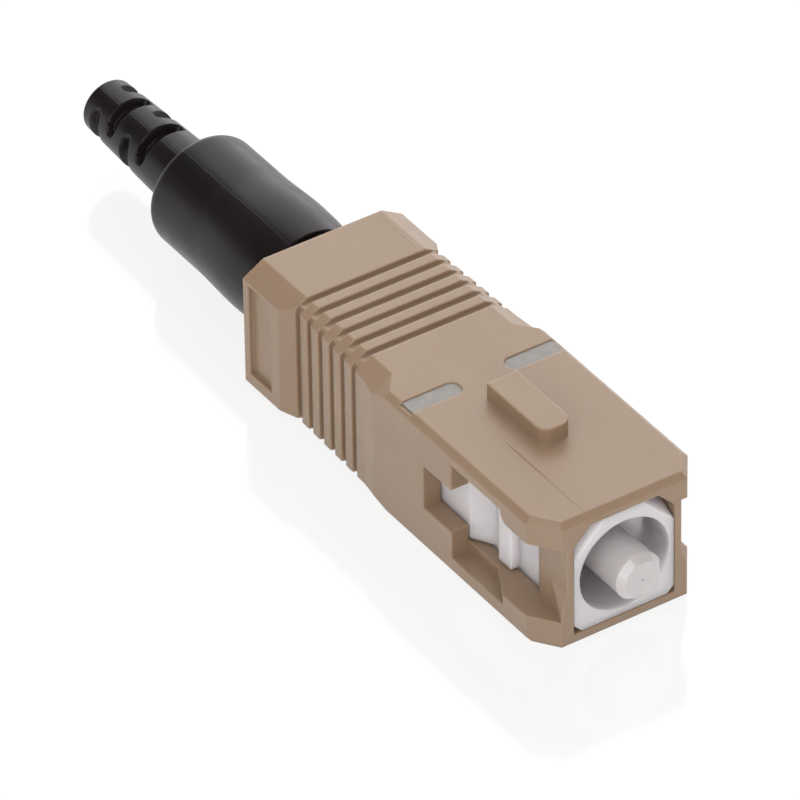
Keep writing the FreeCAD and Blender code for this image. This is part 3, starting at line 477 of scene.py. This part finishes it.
def barrel_radius(x):
    """The boot's thick part swells to a belly behind its front shoulder and then runs even."""
    if x > BELLY_X:
        return BELLY_RADIUS - SHOULDER_DROP * ((x - BELLY_X) / SHOULDER_LENGTH) ** 2
    return BELLY_RADIUS - EVEN_DROP * smooth((BELLY_X - x) / BELLY_LENGTH)


def tail_radius(x):
    """The tail tapers evenly from its root to its tip."""
    return TIP_RADIUS + (ROOT_RADIUS - TIP_RADIUS) * (x - TIP_X) / TAIL_LENGTH


def slot_share(x, angle):
    """1 in a slot and 0 outside; each row has two slots, a quarter turn round from those of the next row."""
    share = 0.0
    for row in range(SLOT_ROWS):
        middle = TIP_X + SLOT_INSET + SLOT_PITCH * row
        turned = BOOT_TURN + (QUARTER if row % 2 == 0 else 0)
        off = abs((angle - turned + QUARTER) % (2 * QUARTER) - QUARTER)
        if off < SLOT_SPAN:
            half = SLOT_HALF * math.sqrt(1 - (off / SLOT_SPAN) ** SLOT_BLUNTNESS)
            depth = smooth((SLOT_SPAN - off) / SLOT_RAMP)
            share = max(share, depth * smooth((half + SLOT_SOFT - abs(x - middle)) / (2 * SLOT_SOFT)))
    return share


def boot_section():
    """The boot's cross-section as one closed run of (x, radius), outside first."""
    section = [(NECK_X, NECK_BORE), (NECK_X, NECK_RADIUS - EASE), (NECK_X - EASE, NECK_RADIUS),
               (SHOULDER_X, NECK_RADIUS), (SHOULDER_X, FRONT_RADIUS - EASE)]
    for step in range(BARREL_STEPS + 1):
        x = SHOULDER_X - EASE + (REAR_X + REAR_ROUND - SHOULDER_X + EASE) * step / BARREL_STEPS
        section.append((x, barrel_radius(x)))
    quarter = [math.radians(QUARTER) * step / ARC_STEPS for step in range(ARC_STEPS + 1)]
    for angle in quarter[1:]:
        section.append((REAR_X + REAR_ROUND * (1 - math.sin(angle)),
                        EVEN_RADIUS - REAR_ROUND * (1 - math.cos(angle))))
    for angle in quarter:
        section.append((REAR_X - ROOT_ROUND * (1 - math.cos(angle)),
                        ROOT_RADIUS + ROOT_ROUND * (1 - math.sin(angle))))
    for step in range(1, TAIL_STEPS + 1):
        x = REAR_X - ROOT_ROUND + (TIP_X + EASE - REAR_X + ROOT_ROUND) * step / TAIL_STEPS
        section.append((x, tail_radius(x)))
    section += [(TIP_X, TIP_RADIUS - EASE), (TIP_X, CABLE_BORE + EASE), (TIP_X + EASE, CABLE_BORE),
                (CHAMBER_REAR, CABLE_BORE), (CHAMBER_REAR, CHAMBER_RADIUS),
                (CHAMBER_FRONT, CHAMBER_RADIUS), (CHAMBER_FRONT, NECK_BORE)]
    return section


def make_boot(finish):
    """Turns the section round the boot's axis and presses the slots into its tail."""
    rings = []
    for x, radius in boot_section():
        slotted = radius > SLOT_FLOOR + EASE and TIP_X + EASE < x < REAR_X - ROOT_ROUND
        ring = []
        for side in range(BOOT_SIDES):
            angle = 360 * side / BOOT_SIDES
            share = slot_share(x, angle) if slotted else 0.0
            reach = (radius + (SLOT_FLOOR - radius) * share) * MM
            turn = math.radians(angle)
            ring.append((x * MM, -reach * math.sin(turn), reach * math.cos(turn)))
        rings.append(ring)
    boot = ring_piece("boot_moulding", rings, joined=True, finish=finish)
    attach(boot, "connector_body")
    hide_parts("boot")


# Studio: lengths in metres

LIGHT_LOW = 0.05  # the light that the sky gives at the horizon and overhead
LIGHT_HIGH = 1.2
SKY_WHITE = 1.0  # what the camera sees, and gloss at the horizon
SKY_SHADE = 0.06  # what gloss sees overhead
SKY_FOOT = 0.02  # the heights, as sines, between which the one turns into the other
SKY_RISE = 0.32

FLOOR_REACH = 3.0
FLOOR_GLOW = 0.86  # the white that stays in the object's shadow
FLOOR_SHADE = 0.06  # the white that the shadow takes away
FLOOR_MIRROR = 0.05
FLOOR_BLUR = 0.1
FLOOR_BOUNCE = 0.96  # the white that lights the object from below

CAMERA_LENS = 457.123  # millimetres, as the sensor
CAMERA_SENSOR = 36
CAMERA_NEAR = 0.01
CAMERA_FAR = 20
CAMERA_PLACE = (0.29902493, -0.20903473, 0.28768412)
CAMERA_TURN = (52.67243501, 0.73876524, 56.07448758)  # degrees about X, Y and Z


def ray_switch(nodes):
    """1 for rays from the camera, from gloss and through glass, 0 for the rays that light the object."""
    path = nodes.add("ShaderNodeLightPath")
    seen = nodes.maths("MAXIMUM", path.outputs["Is Camera Ray"], path.outputs["Is Glossy Ray"])
    return nodes.maths("MAXIMUM", seen, path.outputs["Is Transmission Ray"])


def make_world():
    """A sky that lights from overhead, looks white, and darkens overhead in gloss."""
    world = bpy.data.worlds.new("studio")
    sky = Nodes(world)
    direction = sky.add("ShaderNodeTexCoord").outputs["Generated"]
    height = sky.add("ShaderNodeSeparateXYZ", Vector=direction).outputs["Z"]
    light = sky.ranged(height, 0.0, 1.0, LIGHT_LOW, LIGHT_HIGH)
    plain = sky.ranged(ray_switch(sky), 0.0, 1.0, light, SKY_WHITE)
    mirrored = sky.ranged(height, SKY_FOOT, SKY_RISE, SKY_WHITE, SKY_SHADE, curve="SMOOTHSTEP")
    glossy = sky.add("ShaderNodeLightPath").outputs["Is Glossy Ray"]
    level = sky.add("ShaderNodeMix", Factor=glossy, A=plain, B=mirrored)
    background = sky.add("ShaderNodeBackground", Color=grey(1.0), Strength=level.outputs["Result"])
    sky.add("ShaderNodeOutputWorld", Surface=background.outputs["Background"])
    bpy.context.scene.world = world


def floor_material():
    """White with a faint shadow and a faint mirror image of the object."""
    material = bpy.data.materials.new("white_tabletop")
    top = Nodes(material)
    glow = top.add("ShaderNodeEmission", Strength=FLOOR_GLOW)
    shade = top.add("ShaderNodeBsdfDiffuse", Color=grey(FLOOR_SHADE))
    mirror = top.add("ShaderNodeBsdfGlossy", Color=grey(FLOOR_MIRROR), Roughness=FLOOR_BLUR)
    bounce = top.add("ShaderNodeBsdfDiffuse", Color=grey(FLOOR_BOUNCE))
    lit = top.fill("ShaderNodeAddShader", glow.outputs[0], shade.outputs[0])
    seen = top.fill("ShaderNodeAddShader", lit.outputs[0], mirror.outputs[0])
    choice = top.fill("ShaderNodeMixShader", ray_switch(top), bounce.outputs[0], seen.outputs[0])
    top.add("ShaderNodeOutputMaterial", Surface=choice.outputs[0])
    return material


def make_floor():
    """A square tabletop at the height of the connector's underside."""
    mesh = bpy.data.meshes.new("tabletop")
    shape = bmesh.new()
    height = cad_box[0].z
    corners = ((-1, -1), (1, -1), (1, 1), (-1, 1))
    shape.faces.new([shape.verts.new((x * FLOOR_REACH, y * FLOOR_REACH, height)) for x, y in corners])
    shape.to_mesh(mesh)
    shape.free()
    mesh.materials.append(floor_material())
    floor = bpy.data.objects.new("tabletop", mesh)
    bpy.context.scene.collection.objects.link(floor)


def make_softbox(name, aim, offset, width, power):
    """A square lamp of the given width, offset from the point that it is aimed at."""
    data = bpy.data.lights.new(name, "AREA")
    data.size = width
    data.energy = power
    lamp = bpy.data.objects.new(name, data)
    lamp.location = aim + Vector(offset)
    lamp.rotation_euler = (-Vector(offset)).to_track_quat("-Z", "Y").to_euler()
    bpy.context.scene.collection.objects.link(lamp)


def make_camera():
    """The photograph's view, found from the connector's known sizes."""
    data = bpy.data.cameras.new("view")
    data.lens = CAMERA_LENS
    data.sensor_width = CAMERA_SENSOR
    data.clip_start = CAMERA_NEAR
    data.clip_end = CAMERA_FAR
    camera = bpy.data.objects.new("view", data)
    camera.location = CAMERA_PLACE
    camera.rotation_euler = [math.radians(angle) for angle in CAMERA_TURN]
    bpy.context.scene.collection.objects.link(camera)
    bpy.context.scene.camera = camera


bpy.context.scene.view_settings.view_transform = "Standard"
finishes = dress_nodes()
make_boot(finishes["boot_rubber"])
make_spring(finishes["spring_steel"])
make_world()
make_floor()
centre = (cad_box[0] + cad_box[1]) / 2
make_softbox("back_box", centre, offset=(-0.37, 0.37, 0.28), width=0.8, power=3.3)
make_softbox("front_box", centre, offset=(0.56, -0.49, 0.4), width=1.0, power=5.0)
make_camera()
